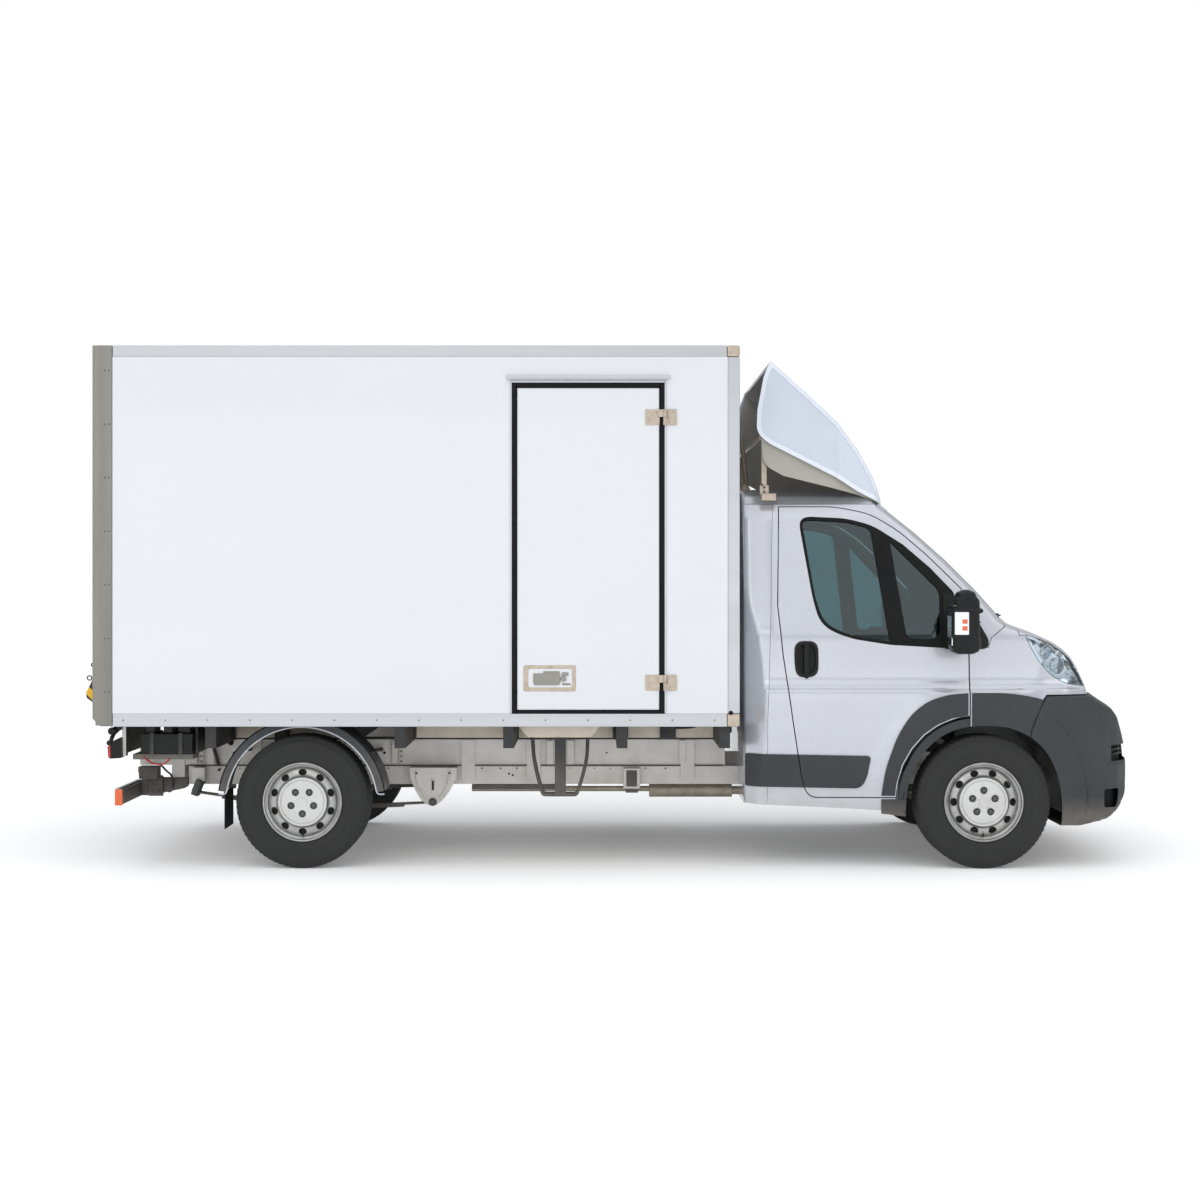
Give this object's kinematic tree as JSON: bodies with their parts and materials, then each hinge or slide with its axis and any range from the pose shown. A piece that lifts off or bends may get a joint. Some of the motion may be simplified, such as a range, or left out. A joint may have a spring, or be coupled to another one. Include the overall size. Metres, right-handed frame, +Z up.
{
  "type": "box truck",
  "caption": "Light two-door box truck with an insulated box body, a side door, a roof air deflector and an upright tail lift.",
  "frame": {"origin": "middle of the overall box, on the ground", "axes": "+X forward, +Y to the left, +Z up"},
  "size_m": [5.9482, 2.58, 2.9069],
  "materials": {
    "silver_paint": "satin",
    "black_plastic": "grained",
    "window_glass": "clear",
    "tyre_rubber": "moulded",
    "wheel_steel": "satin",
    "chassis_steel": "primed",
    "forged_steel": "raw",
    "box_skin": "gloss",
    "rail_aluminium": "anodised",
    "stainless": "brushed",
    "seat_fabric": "woven",
    "lamp_lens": "clear",
    "beige_steel": "satin",
    "stripe_vinyl": "striped",
    "seal_rubber": "moulded"
  },
  "bodies": {
    "chassis": {"cab_side_left": "silver_paint", "cab_side_right": "silver_paint", "front_subframe": "forged_steel", "rear_axle": "forged_steel", "leaf_springs": "forged_steel", "chassis_frame": "chassis_steel", "body_subframe": "chassis_steel", "engine_block": "forged_steel", "exhaust": "stainless", "fuel_tank": "black_plastic", "box_floor": "box_skin", "box_wall_left": "box_skin", "box_wall_right": "box_skin", "box_front_wall": "box_skin", "box_roof": "box_skin", "edge_rails": "rail_aluminium", "corner_caps": "beige_steel", "rear_frame": "stainless", "side_door_frame": "rail_aluminium", "underrun_bar": "chassis_steel", "tail_lamps": "lamp_lens", "power_pack": "chassis_steel", "mudguards": "black_plastic", "side_step": "chassis_steel", "cab_roof": "silver_paint", "cab_rear_wall": "silver_paint", "cowl_panel": "black_plastic", "front_fenders": "silver_paint", "headlamps": "lamp_lens", "windscreen": "window_glass", "arch_cladding": "black_plastic", "front_bumper": "black_plastic", "grille": "black_plastic", "cab_floor": "black_plastic", "dashboard": "black_plastic", "seats": "seat_fabric", "air_deflector": "silver_paint"},
    "knuckle_left": {"steering_knuckle_left": "forged_steel"},
    "knuckle_right": {"steering_knuckle_right": "forged_steel"},
    "wheel_front_left": {"wheel_front_left": "tyre_rubber"},
    "wheel_front_right": {"wheel_front_right": "tyre_rubber"},
    "wheel_rear_left": {"wheel_rear_left": "tyre_rubber"},
    "wheel_rear_right": {"wheel_rear_right": "tyre_rubber"},
    "steering_wheel": {"steering_wheel": "black_plastic"},
    "door_left": {"door_left": "silver_paint", "door_glass_left": "window_glass", "door_trim_left": "black_plastic"},
    "door_right": {"door_right": "silver_paint", "door_glass_right": "window_glass", "door_trim_right": "black_plastic"},
    "bonnet": {"bonnet": "silver_paint"},
    "side_door": {"side_door": "box_skin", "side_door_fittings": "beige_steel"},
    "lift_arms": {"lift_arms": "forged_steel"},
    "lift_head": {"lift_head": "forged_steel"},
    "lift_platform": {"lift_platform": "rail_aluminium", "warning_flags": "stripe_vinyl"}
  },
  "joints": [
    {"name": "steer_left", "type": "hinge", "parent": "chassis", "child": "knuckle_left", "pos_m": [2.025, 0.83, 0.372], "axis": [0, 0, 1], "range_deg": [-35, 35]},
    {"name": "steer_right", "type": "hinge", "parent": "chassis", "child": "knuckle_right", "pos_m": [2.025, -0.83, 0.372], "axis": [0, 0, 1], "range_deg": [-35, 35]},
    {"name": "steering_wheel_turn", "type": "hinge", "parent": "chassis", "child": "steering_wheel", "pos_m": [1.505, 0.45, 1.15], "axis": [-0.788, 0, 0.6157], "range_deg": [-540, 540]},
    {"name": "roll_front_left", "type": "hinge", "parent": "knuckle_left", "child": "wheel_front_left", "pos_m": [2.025, 0.905, 0.372], "axis": [0, 1, 0], "continuous": true},
    {"name": "roll_front_right", "type": "hinge", "parent": "knuckle_right", "child": "wheel_front_right", "pos_m": [2.025, -0.905, 0.372], "axis": [0, 1, 0], "continuous": true},
    {"name": "roll_rear_left", "type": "hinge", "parent": "chassis", "child": "wheel_rear_left", "pos_m": [-1.775, 0.895, 0.372], "axis": [0, 1, 0], "continuous": true},
    {"name": "roll_rear_right", "type": "hinge", "parent": "chassis", "child": "wheel_rear_right", "pos_m": [-1.775, -0.895, 0.372], "axis": [0, 1, 0], "continuous": true},
    {"name": "door_left_swing", "type": "hinge", "parent": "chassis", "child": "door_left", "pos_m": [1.941, 1.025, 1.2], "axis": [0, 0, -1], "range_deg": [0, 70]},
    {"name": "door_right_swing", "type": "hinge", "parent": "chassis", "child": "door_right", "pos_m": [1.941, -1.025, 1.2], "axis": [0, 0, 1], "range_deg": [0, 70]},
    {"name": "bonnet_lift", "type": "hinge", "parent": "chassis", "child": "bonnet", "pos_m": [2.228, 0, 1.353], "axis": [0, -1, 0], "range_deg": [0, 50]},
    {"name": "side_door_swing", "type": "hinge", "parent": "chassis", "child": "side_door", "pos_m": [0.245, -1.112, 1.8], "axis": [0, 0, 1], "range_deg": [0, 170]},
    {"name": "lift_lower", "type": "hinge", "parent": "chassis", "child": "lift_arms", "pos_m": [-2.30086, 0, 0.4125], "axis": [0, -1, 0], "range_deg": [0, 62.2]},
    {"name": "lift_head_level", "type": "hinge", "parent": "lift_arms", "child": "lift_head", "pos_m": [-2.943, 0, 0.8], "axis": [0, -1, 0], "range_deg": [-63, 0]},
    {"name": "platform_fold", "type": "hinge", "parent": "lift_head", "child": "lift_platform", "pos_m": [-2.943, 0, 0.8], "axis": [0, -1, 0], "range_deg": [0, 90]}
  ],
  "couplings": [
    {"joint": "steer_right", "follows": "steer_left", "ratio": 1},
    {"joint": "steering_wheel_turn", "follows": "steer_left", "ratio": 15},
    {"joint": "lift_head_level", "follows": "lift_lower", "ratio": -1}
  ]
}
